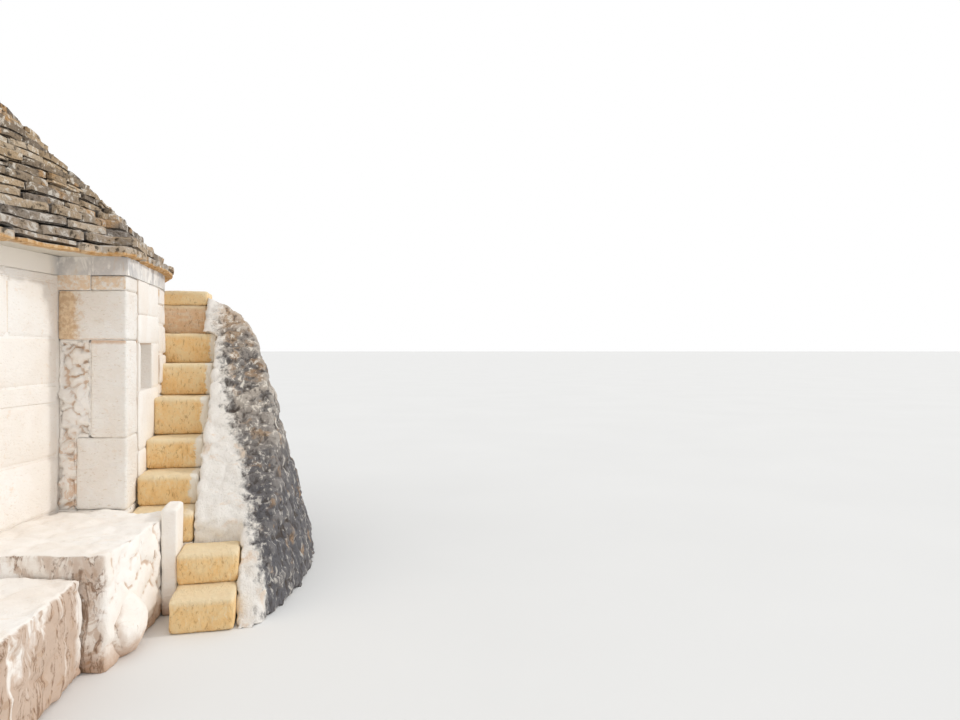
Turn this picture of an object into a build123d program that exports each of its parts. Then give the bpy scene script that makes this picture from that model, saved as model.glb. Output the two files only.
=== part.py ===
"""A small trullo: a round dry-stone house with a squared front bay, a corbelled cone roof, a stair that
climbs its right side to the eave, a battered mass outside the stair and a whitewashed wall bench.

Millimetres, +Z up, the front towards -Y. Every sketch is drawn about the axis of the cone, and the house
stands with the middle of its footprint on the origin.
"""

import math
import os

from build123d import *

os.makedirs("parts", exist_ok=True)

# Drum and front bay
drum_radius = 2285.0
wall_thickness = 835.0
room_radius = drum_radius - wall_thickness
bay_half_width = drum_radius - 255.0
bay_depth = 2300.0  # from the axis to the front face
bay_corner_radius = 450.0
notch_y = -260.0  # where the bay ends and the round drum begins
plan_reach = 4200.0  # further out than any wall
wall_top = 1800.0
floor_top = 50.0
joint = 0.3  # clearance between curved faces that meet

# Doorway in the front bay
door_width = 800.0
door_head = 1600.0
jamb_width = 180.0
threshold_top = 110.0
threshold_projection = 60.0

# Rendered band under the eave, and the eave course
band_height = 100.0
band_projection = 12.0
eave_thickness = 72.0
eave_overhang = 60.0
bay_eave_overhang = 190.0
front_eave_overhang = 120.0

# Cone
course_count = 35
course_rise = 64.0
courses_per_ring = 7
slab_length = 340.0  # a course is a ring of straight slabs about this long
least_slabs = 10
corner_slabs = 4  # that turn each rounded corner over the bay
bay_fade_courses = 16  # the squared front is drawn into the round within this many courses
bay_narrowing = 0.06
bay_round_share = 0.9  # the bay's corner radius over its half width, where it meets the round
side_fade_courses = 9  # and so is the side wall's corner within this many
tip_radius = 130.0
open_rings = 3  # the rings above these are solid

# Corbelled vault
vault_sides = 16
vault_shell = 300.0
vault_spring = 1700.0
vault_rise = 1650.0
vault_power = 1.7
corbel_rise = 125.0
key_hole_radius = 240.0
key_slab_thickness = 90.0
key_slab_bearing = 110.0

# Pinnacle: radius and height of each edge of the base, the neck and the ball
pinnacle_sides = 16
pinnacle_profile = [
    (120.0, 0.0),
    (101.0, 92.0),
    (55.0, 125.0),
    (49.0, 152.0),
    (78.0, 180.0),
    (94.0, 215.0),
    (94.0, 250.0),
    (78.0, 290.0),
    (40.0, 320.0),
    (12.0, 330.0),
]

# Stair side: its own plane is turned about the axis, x outwards and y up the flight
stair_turn = 13.5
side_wall_face = drum_radius  # the flat side wall runs off the drum as a tangent
side_corner = (drum_radius + 125.0, -300.0)
corner_stone_depth = 250.0
corner_lap = 300.0  # how far the corner's outline runs in under the drum
step_count = 9
tread = 250.0
rises = [165.0, 160.0, 162.0, 175.0, 180.0, 239.0, 214.0, 208.0, 320.0]
top_nosing = 590.0  # along the flight, from the foot of the normal
stair_outer = side_wall_face + 335.0
top_outer = side_wall_face + 240.0  # the top step is narrower
low_step_outer = side_wall_face + 595.0
low_step_inner = side_wall_face + 290.0
low_steps = 2
drum_fall = 300.0  # how far the drum curves away from the flight along its length
step_bearing = 60.0
top_slab_thickness = 105.0
top_slab_depth = 330.0
nosing_round = 14.0

# Corner stones of the side wall, by their joints
corner_joints = [0.0, 510.0, 906.0, 1444.0, 1718.0]
tall_stone_width = 200.0
low_stone_width = 280.0
tall_stone_inner = side_corner[0] - tall_stone_width
low_stone_inner = side_corner[0] - low_stone_width
panel_depth = 160.0

# Niche in the side wall
niche_width = 350.0
niche_height = 283.0
niche_depth = 210.0
niche_sill = 1147.0
niche_start = -560.0  # its near side, along the flight

# Battered mass outside the stair: how far each edge of its profile stands off the drum, and its height
flank_batter = [
    (1015.0, 0.0),
    (999.0, 60.0),
    (924.0, 350.0),
    (849.0, 640.0),
    (780.0, 900.0),
    (716.0, 1150.0),
    (655.0, 1355.0),
    (590.0, 1550.0),
    (525.0, 1650.0),
    (430.0, 1730.0),
    (300.0, 1800.0),
]
flank_profile = [(drum_radius + stand_off, height) for stand_off, height in flank_batter]
face_rows = range(1, 7)  # the lifts of the profile that are rows of large face stones
face_stone_length = 430.0
face_stone_gap = 34.0
face_stone_seat = 8.0
face_stone_proud = 24.0  # at most
face_stone_least = 8.0
face_stone_taper = 48.0
face_stone_spread = 0.618  # each stone's share of the range of bulges, over the last one's
flank_start_angle = -22.0
flank_end_angle = 112.0
flank_splay_angle = 86.0  # where its splayed and battered end begins
flank_end_batter = 0.22
flank_foot = -1560.0
flank_drop = 45.0  # the sloping top lies this far under the nosings

# Bench
ledge_top = 510.0
ledge_front_y = -1200.0
ledge_outer = side_wall_face + 460.0
seat_top = 420.0
seat_front_y = -1920.0
seat_outer_back = side_wall_face + 365.0
seat_outer_front = side_wall_face + 470.0
bench_round = 45.0
wall_lap = 200.0  # how far the bench's outline runs on before the wall cuts it
seat_lap = 600.0
end_slab_thickness = 80.0
end_slab_length = 215.0
end_slab_top = 560.0

# Worked out from the sizes above
eave_bottom = wall_top + band_height
eave_top = eave_bottom + eave_thickness
eave_radius = drum_radius + eave_overhang
course_setback = (eave_radius - tip_radius) / course_count
step_tops = [sum(rises[: number + 1]) for number in range(step_count)]
nosings = [top_nosing - tread * (step_count - 1 - number) for number in range(step_count)]
flank_base_radius = flank_profile[0][0]
flank_top = flank_profile[-1][1]
axis_x = (eave_radius - flank_base_radius) / 2
flank_back = flank_base_radius * math.sin(math.radians(flank_splay_angle))
axis_y = (bay_depth + front_eave_overhang - flank_back) / 2

ground = Plane(origin=(axis_x, axis_y, 0))
turn = math.radians(stair_turn)
flight = Plane(origin=(axis_x, axis_y, 0), x_dir=(math.cos(turn), math.sin(turn), 0), z_dir=(0, 0, 1))
flight_side = Plane(
    origin=(axis_x, axis_y, 0),
    x_dir=(-math.sin(turn), math.cos(turn), 0),
    z_dir=(math.cos(turn), math.sin(turn), 0),
)


def along_flight(outward, onward):
    """A point of the stair's plane, in the plan of the house."""
    return (
        outward * math.cos(turn) - onward * math.sin(turn),
        outward * math.sin(turn) + onward * math.cos(turn),
    )


def save(piece, name):
    """Labels a finished piece and writes it to its own file."""
    piece.part.label = name
    export_step(piece.part, f"parts/{name}.step")


def at_bearing(radius, angle):
    """A point of the plan at this distance and bearing from the axis."""
    return (radius * math.cos(math.radians(angle)), radius * math.sin(math.radians(angle)))


def slab_ring(radius):
    """The outline of a ring of straight slabs, an even number of them."""
    half_ring = max(least_slabs // 2, round(math.pi * radius / slab_length))
    with BuildSketch() as face:
        RegularPolygon(radius, 2 * half_ring)
    return face.sketch


def vault_ring(radius):
    """An outline of the vault, which is as many-sided as its corbels."""
    with BuildSketch() as face:
        RegularPolygon(radius, vault_sides, rotation=180 / vault_sides)
    return face.sketch


def front_bay_face(half_width, depth, corner_radius):
    """The squared front of the plan, from the axis to the rounded front corners."""
    with BuildSketch() as face:
        with Locations((0, -depth / 2)):
            Rectangle(2 * half_width, depth)
        fillet(face.vertices().group_by(Axis.Y)[0], corner_radius)
    return face.sketch


def bay_course_face(half_width, depth, corner_radius):
    """The same front as the roof follows it, its corners turned in a few straight slabs."""
    centre = (half_width - corner_radius, corner_radius - depth)
    right = []
    for slab in range(corner_slabs + 1):
        x, y = at_bearing(corner_radius, -90 * slab / corner_slabs)
        right.append((centre[0] + x, centre[1] + y))
    left = [(-x, y) for x, y in reversed(right)]
    with BuildSketch() as face:
        with BuildLine():
            Polyline((half_width, 0), *right, *left, (-half_width, 0), close=True)
        make_face()
    return face.sketch


def side_corner_face(grow=0.0, fade=0.0):
    """The wedge between the drum and the flat side wall; fade draws its corner into the drum."""
    touch_x, touch_y = along_flight(side_wall_face + grow, 0)
    inner_x = touch_x - corner_lap
    outer_x = side_corner[0] + grow + (touch_x - side_corner[0] - grow) * fade
    outer_y = side_corner[1] - grow + (touch_y - side_corner[1] + grow) * fade
    with BuildSketch() as face:
        with BuildLine():
            Polyline(
                (inner_x, outer_y),
                (outer_x, outer_y),
                (touch_x, touch_y),
                (inner_x, touch_y),
                close=True,
            )
        make_face()
    return face.sketch


def drum_face(grow=0.0):
    """The round part of the plan, behind the notch."""
    with BuildSketch() as face:
        Circle(drum_radius + grow)
        with Locations((0, notch_y - grow - drum_radius * 2)):
            Rectangle(6 * drum_radius, 4 * drum_radius, mode=Mode.SUBTRACT)
    return face.sketch


def house_face(grow=0.0):
    """The outline of the walls: round drum, front bay and side wall."""
    with BuildSketch() as face:
        add(drum_face(grow))
        add(front_bay_face(bay_half_width + grow, bay_depth + grow, bay_corner_radius + grow))
        add(side_corner_face(grow))
    return face.sketch


def course_face(number):
    """The outline of one course of the cone: the eave's outline drawn in, and round above the bay."""
    setback = course_setback * number
    fade = number / bay_fade_courses
    radius = eave_radius - setback
    half_width = (bay_half_width + bay_eave_overhang - setback) * (1 - bay_narrowing * fade)
    depth = bay_depth + front_eave_overhang - setback
    depth -= (bay_depth + front_eave_overhang - eave_radius) * fade
    corner = bay_corner_radius + front_eave_overhang
    corner += (bay_round_share * half_width - corner) * fade
    with BuildSketch() as face:
        add(slab_ring(radius))
        if number < bay_fade_courses:
            add(bay_course_face(half_width, depth, corner))
        if number < side_fade_courses:
            add(side_corner_face(eave_overhang - setback, number / side_fade_courses))
    return face.sketch


def sector_face(start, end):
    """A wedge of the plan between two bearings."""
    middle = (start + end) / 2
    with BuildSketch() as face:
        with BuildLine():
            Polyline((0, 0), *[at_bearing(plan_reach, angle) for angle in (start, middle, end)], close=True)
        make_face()
    return face.sketch


def vault_radius(height):
    """Inner radius of the corbelled vault at a height above the ground."""
    share = min(1.0, max(0.0, (height - vault_spring) / vault_rise))
    return room_radius * (1 - share**vault_power)


# Niche cut, shared by the wall that it is in
with BuildPart() as niche_cut:
    with BuildSketch(flight.offset(niche_sill)):
        with Locations((side_wall_face + niche_depth / 2, niche_start + niche_width / 2)):
            Rectangle(3 * niche_depth, niche_width)
    extrude(amount=niche_height)

# Corner stones: each bears on the one below, and the rubble panel fills the wall beside them
corner_x, corner_y = side_corner


def corner_stone_face(inner_x):
    """Plan of one corner stone: flat to the front, flat to the stair, with a square back."""
    back = along_flight(side_wall_face, 0)
    share = corner_stone_depth / (back[1] - corner_y)
    back_x = corner_x + (back[0] - corner_x) * share
    back_y = corner_y + corner_stone_depth
    with BuildSketch() as face:
        with BuildLine():
            Polyline(
                (inner_x, corner_y),
                (corner_x, corner_y),
                (back_x, back_y),
                (inner_x, back_y),
                close=True,
            )
        make_face()
    return face.sketch


stone_tops = corner_joints[1:] + [wall_top]
stone_inner = [low_stone_inner, low_stone_inner, tall_stone_inner, bay_half_width, tall_stone_inner]
stone_names = ["foot", "low", "tall", "bearing", "top"]
corner_stones = []
for low, high, inner_x, stone_name in zip(corner_joints, stone_tops, stone_inner, stone_names):
    with BuildPart() as corner_stone:
        with BuildSketch(ground.offset(low)):
            add(corner_stone_face(inner_x))
        extrude(amount=high - low)
    corner_stones.append(corner_stone)
    save(corner_stone, f"corner_stone_{stone_name}")

panel_bottom = corner_joints[1]
panel_top = corner_joints[3]
with BuildPart() as rubble_panel:
    with BuildSketch(ground.offset(panel_bottom)):
        with Locations((bay_half_width, corner_y)):
            Rectangle(tall_stone_inner - bay_half_width, panel_depth, align=(Align.MIN, Align.MIN))
        with Locations((tall_stone_inner, corner_y)):
            Rectangle(
                tall_stone_inner - low_stone_inner,
                panel_depth,
                align=(Align.MAX, Align.MIN),
                mode=Mode.SUBTRACT,
            )
    extrude(amount=corner_joints[2] - panel_bottom)
    with BuildSketch(ground.offset(corner_joints[2])):
        with Locations((bay_half_width, corner_y)):
            Rectangle(tall_stone_inner - bay_half_width, panel_depth, align=(Align.MIN, Align.MIN))
    extrude(amount=panel_top - corner_joints[2])
save(rubble_panel, "rubble_panel")

# Walls, split at the doorway and by bearing
door_clear = door_width / 2 + jamb_width
wall_sectors = {
    "wall_front_left": (187.0, 270.0),
    "wall_front_right": (270.0, 353.0),
    "wall_stair_side": (-7.0, 45.0),
    "wall_back_right": (45.0, 95.0),
    "wall_back_left": (95.0, 140.0),
    "wall_left": (140.0, 187.0),
}
for name, (start, end) in wall_sectors.items():
    with BuildPart() as wall:
        with BuildSketch(ground):
            add(house_face())
            add(sector_face(start, end), mode=Mode.INTERSECT)
            Circle(room_radius, mode=Mode.SUBTRACT)
            with Locations((0, -bay_depth)):
                Rectangle(2 * door_clear, 2 * bay_depth, mode=Mode.SUBTRACT)
        extrude(amount=wall_top)
        if name in ("wall_stair_side", "wall_front_right"):
            for corner_stone in corner_stones:
                add(corner_stone.part, mode=Mode.SUBTRACT)
            add(rubble_panel.part, mode=Mode.SUBTRACT)
            add(niche_cut.part, mode=Mode.SUBTRACT)
    save(wall, name)

# Doorway: ashlar jambs, lintel, the wall over it, and the threshold
inner_reach = math.sqrt(room_radius**2 - door_clear**2)
for name, side in (("door_jamb_left", -1), ("door_jamb_right", 1)):
    with BuildPart() as jamb:
        with BuildSketch(ground):
            with Locations((side * (door_width + jamb_width) / 2, -bay_depth)):
                Rectangle(jamb_width, bay_depth - inner_reach, align=(Align.CENTER, Align.MIN))
        extrude(amount=door_head)
    save(jamb, name)

lintel_height = wall_top - door_head
with BuildPart() as lintel:
    with BuildSketch(ground.offset(door_head)):
        with Locations((0, -bay_depth)):
            Rectangle(2 * door_clear, bay_depth - inner_reach, align=(Align.CENTER, Align.MIN))
    extrude(amount=lintel_height)
save(lintel, "door_lintel")

with BuildPart() as threshold:
    with BuildSketch(ground):
        with Locations((0, -bay_depth - threshold_projection)):
            Rectangle(
                door_width,
                bay_depth + threshold_projection - inner_reach,
                align=(Align.CENTER, Align.MIN),
            )
    extrude(amount=threshold_top)
save(threshold, "door_threshold")

with BuildPart() as room_floor:
    with BuildSketch(ground):
        Circle(room_radius - joint)
        with Locations((0, -bay_depth)):
            Rectangle(
                2 * door_clear,
                2 * (bay_depth - inner_reach),
                mode=Mode.SUBTRACT,
            )
    extrude(amount=floor_top)
save(room_floor, "room_floor")

# Cone rings: each is a few courses, and each bears on the ring below
ring_count = course_count // courses_per_ring
ring_rise = course_rise * courses_per_ring
ring_bottoms = [eave_top + ring_rise * ring for ring in range(ring_count)]
cone_top = ring_bottoms[-1] + ring_rise

# The lowest vault ring passes through the band, the eave course and the first cone ring
vault_bottoms = [wall_top] + ring_bottoms[1:open_rings]
vault_outer = [vault_radius(bottom) + vault_shell for bottom in vault_bottoms]

with BuildPart() as render_band:
    with BuildSketch(ground.offset(wall_top)):
        add(house_face(band_projection))
        add(vault_ring(vault_outer[0]), mode=Mode.SUBTRACT)
    extrude(amount=band_height)
save(render_band, "render_band")

with BuildPart() as eave_course:
    with BuildSketch(ground.offset(eave_bottom)):
        add(course_face(0))
        add(vault_ring(vault_outer[0]), mode=Mode.SUBTRACT)
    extrude(amount=eave_thickness)
save(eave_course, "eave_course")

for ring, bottom in enumerate(ring_bottoms):
    with BuildPart() as cone_ring:
        for course in range(courses_per_ring):
            with BuildSketch(ground.offset(bottom + course_rise * course)):
                add(course_face(ring * courses_per_ring + course + 1))
                if ring < open_rings:
                    add(vault_ring(vault_outer[ring]), mode=Mode.SUBTRACT)
            extrude(amount=course_rise)
    save(cone_ring, f"cone_ring_{ring + 1}")


def corbel_point(radius, angle, side):
    """A corner of a corbel stone, half a joint inside the bearing that divides it from the next one."""
    return at_bearing(radius, angle + side * math.degrees(math.asin(joint / 2 / radius)))


# Corbelled vault inside: rings of straight stones, each row reaching in over the one below
vault_tops = vault_bottoms[1:] + [ring_bottoms[open_rings]]
key_slab_bottom = vault_tops[-1] - key_slab_thickness
key_slab_radius = key_hole_radius + key_slab_bearing
stone_angle = 360 / vault_sides
for ring, (bottom, top, outer) in enumerate(zip(vault_bottoms, vault_tops, vault_outer)):
    corbels = round((min(top, key_slab_bottom) - bottom) / corbel_rise)
    rise = (min(top, key_slab_bottom) - bottom) / corbels
    rows = [
        (bottom + rise * row, rise, max(key_hole_radius, vault_radius(bottom + rise * row)))
        for row in range(corbels)
    ]
    if top > key_slab_bottom:
        rows.append((key_slab_bottom, key_slab_thickness, key_slab_radius))
    with BuildPart() as vault:
        for stone in range(vault_sides):
            start = stone_angle * (stone + 0.5)
            end = start + stone_angle
            for low, height, inner in rows:
                with BuildSketch(ground.offset(low)):
                    with BuildLine():
                        Polyline(
                            corbel_point(inner, start, 1),
                            corbel_point(outer - joint, start, 1),
                            corbel_point(outer - joint, end, -1),
                            corbel_point(inner, end, -1),
                            close=True,
                        )
                    make_face()
                extrude(amount=height)
    save(vault, f"vault_ring_{ring + 1}")

with BuildPart() as key_slab:
    with BuildSketch(ground.offset(key_slab_bottom)):
        add(vault_ring(key_slab_radius - joint))
    extrude(amount=key_slab_thickness)
save(key_slab, "vault_key_slab")

# Pinnacle: a dressed base, a neck and a ball
with BuildPart() as pinnacle:
    for (low_radius, low), (high_radius, high) in zip(pinnacle_profile[:-1], pinnacle_profile[1:]):
        with BuildSketch(ground.offset(cone_top + low)):
            RegularPolygon(low_radius, pinnacle_sides)
        side_setback = (low_radius - high_radius) * math.cos(math.pi / pinnacle_sides)
        extrude(amount=high - low, taper=math.degrees(math.atan2(side_setback, high - low)))
save(pinnacle, "pinnacle")

# What the stair side keeps clear of: the walls with a fine joint
with BuildPart() as wall_space:
    with BuildSketch(ground):
        add(house_face(joint))
    extrude(amount=wall_top)
    with BuildSketch(ground.offset(wall_top)):
        add(house_face(band_projection + joint))
    extrude(amount=band_height)


def flight_inner(onward):
    """Where the stair's blocks start: at the flat side wall, and past its end inside the drum's curve."""
    return side_wall_face + joint if onward < 0 else side_wall_face - drum_fall


# Steps: each block bears on the back of the one below
for number in range(step_count):
    is_top = number == step_count - 1
    inner = low_step_inner if number < low_steps else flight_inner(nosings[number])
    outer = top_outer if is_top else stair_outer
    outer = low_step_outer if number < low_steps else outer
    depth = top_slab_depth if is_top else tread + step_bearing
    if number == low_steps - 1:
        depth = tread
    bottom = step_tops[number] - rises[number]
    height = rises[number] - top_slab_thickness if is_top else rises[number]
    with BuildPart() as step_block:
        with BuildSketch(flight.offset(bottom)):
            with Locations((inner, nosings[number])):
                Rectangle(outer - inner, depth, align=(Align.MIN, Align.MIN))
        extrude(amount=height)
        add(wall_space.part, mode=Mode.SUBTRACT)
    save(step_block, f"step_{number + 1}" if not is_top else "step_9_riser")

with BuildPart() as top_slab:
    with BuildSketch(flight.offset(step_tops[-1] - top_slab_thickness)):
        with Locations((flight_inner(top_nosing), top_nosing)):
            Rectangle(top_outer - flight_inner(top_nosing), top_slab_depth, align=(Align.MIN, Align.MIN))
    extrude(amount=top_slab_thickness)
    add(wall_space.part, mode=Mode.SUBTRACT)
save(top_slab, "step_9_slab")

# Rubble core under the steps: one lift under each block, and a low one under the wide lowest step
stair_back = top_nosing + top_slab_depth
with BuildPart() as stair_core:
    with BuildSketch(flight):
        with Locations((low_step_inner, nosings[1] + step_bearing)):
            Rectangle(
                low_step_outer - low_step_inner,
                nosings[low_steps] - nosings[1] - step_bearing,
                align=(Align.MIN, Align.MIN),
            )
    extrude(amount=step_tops[0])
    for number in range(low_steps, step_count):
        lift_start = nosings[number] if number == low_steps else nosings[number] + step_bearing
        lift_end = stair_back if number == step_count - 1 else nosings[number + 1] + step_bearing
        with BuildSketch(flight):
            with Locations((flight_inner(nosings[number]), lift_start)):
                Rectangle(
                    stair_outer - flight_inner(nosings[number]),
                    lift_end - lift_start,
                    align=(Align.MIN, Align.MIN),
                )
        extrude(amount=step_tops[number - 1])
    add(wall_space.part, mode=Mode.SUBTRACT)
save(stair_core, "stair_core")

# Bench end slab, beside the lowest steps
slab_inner = low_step_inner - joint - end_slab_thickness
slab_back = nosings[low_steps] - joint
slab_front = slab_back - end_slab_length
with BuildPart() as end_slab:
    with BuildSketch(flight):
        with Locations((slab_inner, slab_front)):
            Rectangle(end_slab_thickness, end_slab_length, align=(Align.MIN, Align.MIN))
    extrude(amount=end_slab_top)
    fillet(end_slab.faces().sort_by(Axis.Z)[-1].edges(), nosing_round)
save(end_slab, "bench_end_slab")

# Ledge at the foot of the side wall, and the lower seat in front of it
with BuildPart() as bench_ledge:
    with BuildSketch(ground):
        with BuildLine():
            Polyline(
                (bay_half_width - wall_lap, ledge_front_y),
                (ledge_outer, ledge_front_y),
                along_flight(slab_inner - joint, slab_front),
                along_flight(slab_inner - joint, slab_back),
                along_flight(side_wall_face, slab_back),
                along_flight(side_wall_face, slab_back + wall_lap),
                (bay_half_width - wall_lap, notch_y),
                close=True,
            )
        make_face()
    extrude(amount=ledge_top)
    fillet(bench_ledge.edges().filter_by(Axis.Z).sort_by(Axis.X)[-1], bench_round)
    add(wall_space.part, mode=Mode.SUBTRACT)
save(bench_ledge, "bench_ledge")

with BuildPart() as bench_seat:
    with BuildSketch(ground):
        with BuildLine():
            Polyline(
                (bay_half_width - seat_lap, seat_front_y),
                (seat_outer_front, seat_front_y),
                (seat_outer_back, ledge_front_y - joint),
                (bay_half_width - seat_lap, ledge_front_y - joint),
                close=True,
            )
        make_face()
    extrude(amount=seat_top)
    add(wall_space.part, mode=Mode.SUBTRACT)
save(bench_seat, "bench_seat")

# Battered mass: rows of large stones about the axis, from which the stair and its slope are cut
flight_slope = (step_tops[-1] - step_tops[2]) / (nosings[-1] - nosings[2])
slope_foot_z = step_tops[2] - flank_drop + flight_slope * (flank_foot - nosings[2])
slope_top_z = step_tops[-1] - flank_drop
end_outer = at_bearing(flank_base_radius, flank_splay_angle)
end_inner = at_bearing(drum_radius, flank_end_angle)
end_run = (end_inner[0] - end_outer[0], end_inner[1] - end_outer[1])
flank_end = Plane(
    origin=(axis_x + end_outer[0], axis_y + end_outer[1], 0),
    x_dir=(end_run[1], -end_run[0], 0),
    z_dir=(-end_run[0], -end_run[1], 0),
)
flank_rows = []
for row, ((low_reach, low), (high_reach, high)) in enumerate(zip(flank_profile[:-1], flank_profile[1:])):
    row_angle = flank_splay_angle / round(math.radians(flank_splay_angle) * low_reach / face_stone_length)
    first = math.floor(flank_start_angle / row_angle)
    last = math.ceil(flank_end_angle / row_angle)
    shift = 0.5 * (row // 2 % 2)  # the joints of a row stand over the middles of the stones below
    bearings = [row_angle * (stone + shift) for stone in range(first, last + 1)]
    flank_rows.append((low_reach, low, high_reach, high, bearings))


def face_stone_plane(reach, height, bearing, lean):
    """The plane of a stone's face: x along the row, y up the batter and z out of it."""
    x, y = at_bearing(reach, bearing)
    return Plane(
        origin=(axis_x + x, axis_y + y, height),
        x_dir=(-math.sin(math.radians(bearing)), math.cos(math.radians(bearing)), 0),
        z_dir=(*at_bearing(math.cos(lean), bearing), math.sin(lean)),
    )


face_stones = []
with BuildPart() as flank:
    for row, (low_reach, low, high_reach, high, bearings) in enumerate(flank_rows):
        half_angle = math.radians(bearings[1] - bearings[0]) / 2
        lean = math.atan2((low_reach - high_reach) * math.cos(half_angle), high - low)
        with BuildSketch(ground.offset(low)):
            with BuildLine():
                Polyline((0, 0), *[at_bearing(low_reach, bearing) for bearing in bearings], close=True)
            make_face()
        extrude(amount=high - low, taper=math.degrees(lean))
        if row not in face_rows:
            continue
        middle_reach = (low_reach + high_reach) / 2 * math.cos(half_angle)
        stone_width = 2 * high_reach * math.sin(half_angle) - face_stone_gap
        stone_height = (high - low) / math.cos(lean) - face_stone_gap
        for stone, bearing in enumerate(bearings[:-1]):
            share = (stone + row) * face_stone_spread % 1
            proud = face_stone_least + (face_stone_proud - face_stone_least) * share
            middle = bearing + math.degrees(half_angle)
            face_plane = face_stone_plane(middle_reach, (low + high) / 2, middle, lean)
            with BuildSketch(face_plane.offset(-face_stone_seat)):
                Rectangle(stone_width, stone_height)
            face_stones.append(
                extrude(amount=face_stone_seat + proud, taper=face_stone_taper, mode=Mode.PRIVATE)
            )
    add(face_stones)
    with BuildSketch(flight_side.offset(side_wall_face - 2 * drum_fall)):
        with BuildLine():
            Polyline(
                (top_nosing, 2 * flank_top),
                (top_nosing, slope_top_z),
                (flank_foot, slope_foot_z),
                (flank_foot, -wall_lap),
                (flank_foot - flank_top, -wall_lap),
                (flank_foot - flank_top, 2 * flank_top),
                close=True,
            )
        make_face()
    extrude(amount=flank_base_radius, mode=Mode.SUBTRACT)
    for outer, foot in ((stair_outer, 0), (top_outer, step_tops[-2])):
        with BuildSketch(flight.offset(foot)):
            with Locations((side_wall_face - 2 * drum_fall, stair_back + joint)):
                Rectangle(
                    outer + joint - side_wall_face + 2 * drum_fall,
                    2 * flank_base_radius,
                    align=(Align.MIN, Align.MAX),
                )
        extrude(amount=step_tops[-2] if foot == 0 else flank_top, mode=Mode.SUBTRACT)
    with BuildSketch(flank_end.offset(-plan_reach)):
        with BuildLine():
            Polyline(
                (0, 0),
                (plan_reach, 0),
                (plan_reach, flank_base_radius),
                (-flank_end_batter * flank_base_radius, flank_base_radius),
                close=True,
            )
        make_face()
    extrude(amount=2 * plan_reach, mode=Mode.SUBTRACT)
    with BuildSketch(flight):
        with Locations((low_step_inner, nosings[low_steps])):
            Rectangle(
                low_step_outer + joint - low_step_inner,
                nosings[low_steps] - flank_foot,
                align=(Align.MIN, Align.MAX),
            )
    extrude(amount=flank_top, mode=Mode.SUBTRACT)
    add(stair_core.part, mode=Mode.SUBTRACT)
    add(wall_space.part, mode=Mode.SUBTRACT)
save(flank, "stair_flank")
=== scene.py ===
# %% [markdown]
# # A trullo house, stone by stone
#
# The real house is dry limestone: a cone of thin slabs laid in rings, thick limewashed walls, a stair of
# worn golden blocks, a battered mass of rubble beside it and a plastered wall bench. The solid model gives
# each piece its place and size. This script gives each one its stones, its wear and its colour.

# %% Load the solid model as a fixed frame
import itertools
import math
import random

import bmesh
import bpy
import numpy as np
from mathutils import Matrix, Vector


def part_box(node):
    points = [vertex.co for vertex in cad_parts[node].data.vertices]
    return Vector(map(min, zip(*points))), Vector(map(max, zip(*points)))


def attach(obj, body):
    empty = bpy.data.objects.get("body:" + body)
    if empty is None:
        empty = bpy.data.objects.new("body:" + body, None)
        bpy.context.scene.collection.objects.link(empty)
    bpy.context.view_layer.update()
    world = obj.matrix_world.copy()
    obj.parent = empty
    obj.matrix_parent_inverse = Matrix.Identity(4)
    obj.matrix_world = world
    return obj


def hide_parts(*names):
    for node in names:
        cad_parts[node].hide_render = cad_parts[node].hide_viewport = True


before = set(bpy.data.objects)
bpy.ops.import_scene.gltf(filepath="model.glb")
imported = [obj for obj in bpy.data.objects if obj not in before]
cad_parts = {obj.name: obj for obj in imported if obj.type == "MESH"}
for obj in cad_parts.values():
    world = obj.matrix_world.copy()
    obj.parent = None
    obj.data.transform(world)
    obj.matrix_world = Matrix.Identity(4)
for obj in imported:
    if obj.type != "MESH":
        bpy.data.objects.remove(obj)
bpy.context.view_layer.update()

# %% [markdown]
# Everything is placed about the cone's axis. The pinnacle stands on it, so the middle of that node's box is
# the axis, and the eave course gives the heights where wall ends and roof begins. The band and the ledge
# give two places that the stones and the stains need.

# %% The axis and the main heights
tip_low, tip_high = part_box("pinnacle")
axis = ((tip_low.x + tip_high.x) / 2, (tip_low.y + tip_high.y) / 2)
eave_low, eave_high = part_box("eave_course")
eave_bottom, eave_top = eave_low.z, eave_high.z
cone_top = tip_low.z
wall_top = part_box("render_band")[0].z
ledge_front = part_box("bench_ledge")[0].y
print("axis", axis, "eave", round(eave_bottom, 3), round(eave_top, 3), "cone top", round(cone_top, 3))

# %% [markdown]
# Node trees read best as sums. A small class wraps an output socket, and arithmetic on it adds the Math
# node that does the sum. Another wraps the tree: it adds any node with its settings and its sockets, and
# has a method for each thing that the trees do often. The same two serve materials and Geometry Nodes.


# %% Sockets as expressions
class Wire:
    """An output socket. Arithmetic on it adds the Math node that does the sum."""

    def __init__(self, board, socket):
        self.board = board
        self.socket = socket

    def sum(self, operation, *values):
        return self.board.add("ShaderNodeMath", {"operation": operation}, dict(enumerate(values)))[0]

    def __add__(self, other):
        return self.sum("ADD", self, other)

    def __sub__(self, other):
        return self.sum("SUBTRACT", self, other)

    def __rsub__(self, other):
        return self.sum("SUBTRACT", other, self)

    def __mul__(self, other):
        return self.sum("MULTIPLY", self, other)

    def __rtruediv__(self, other):
        return self.sum("DIVIDE", other, self)

    def __lt__(self, other):
        return self.sum("LESS_THAN", self, other)

    def at_least(self, other):
        return self.sum("MAXIMUM", self, other)


class Made:
    """A node that was added; its outputs are read by name or number."""

    def __init__(self, board, node):
        self.board = board
        self.node = node

    def __getitem__(self, key):
        return Wire(self.board, self.node.outputs[key])


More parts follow.
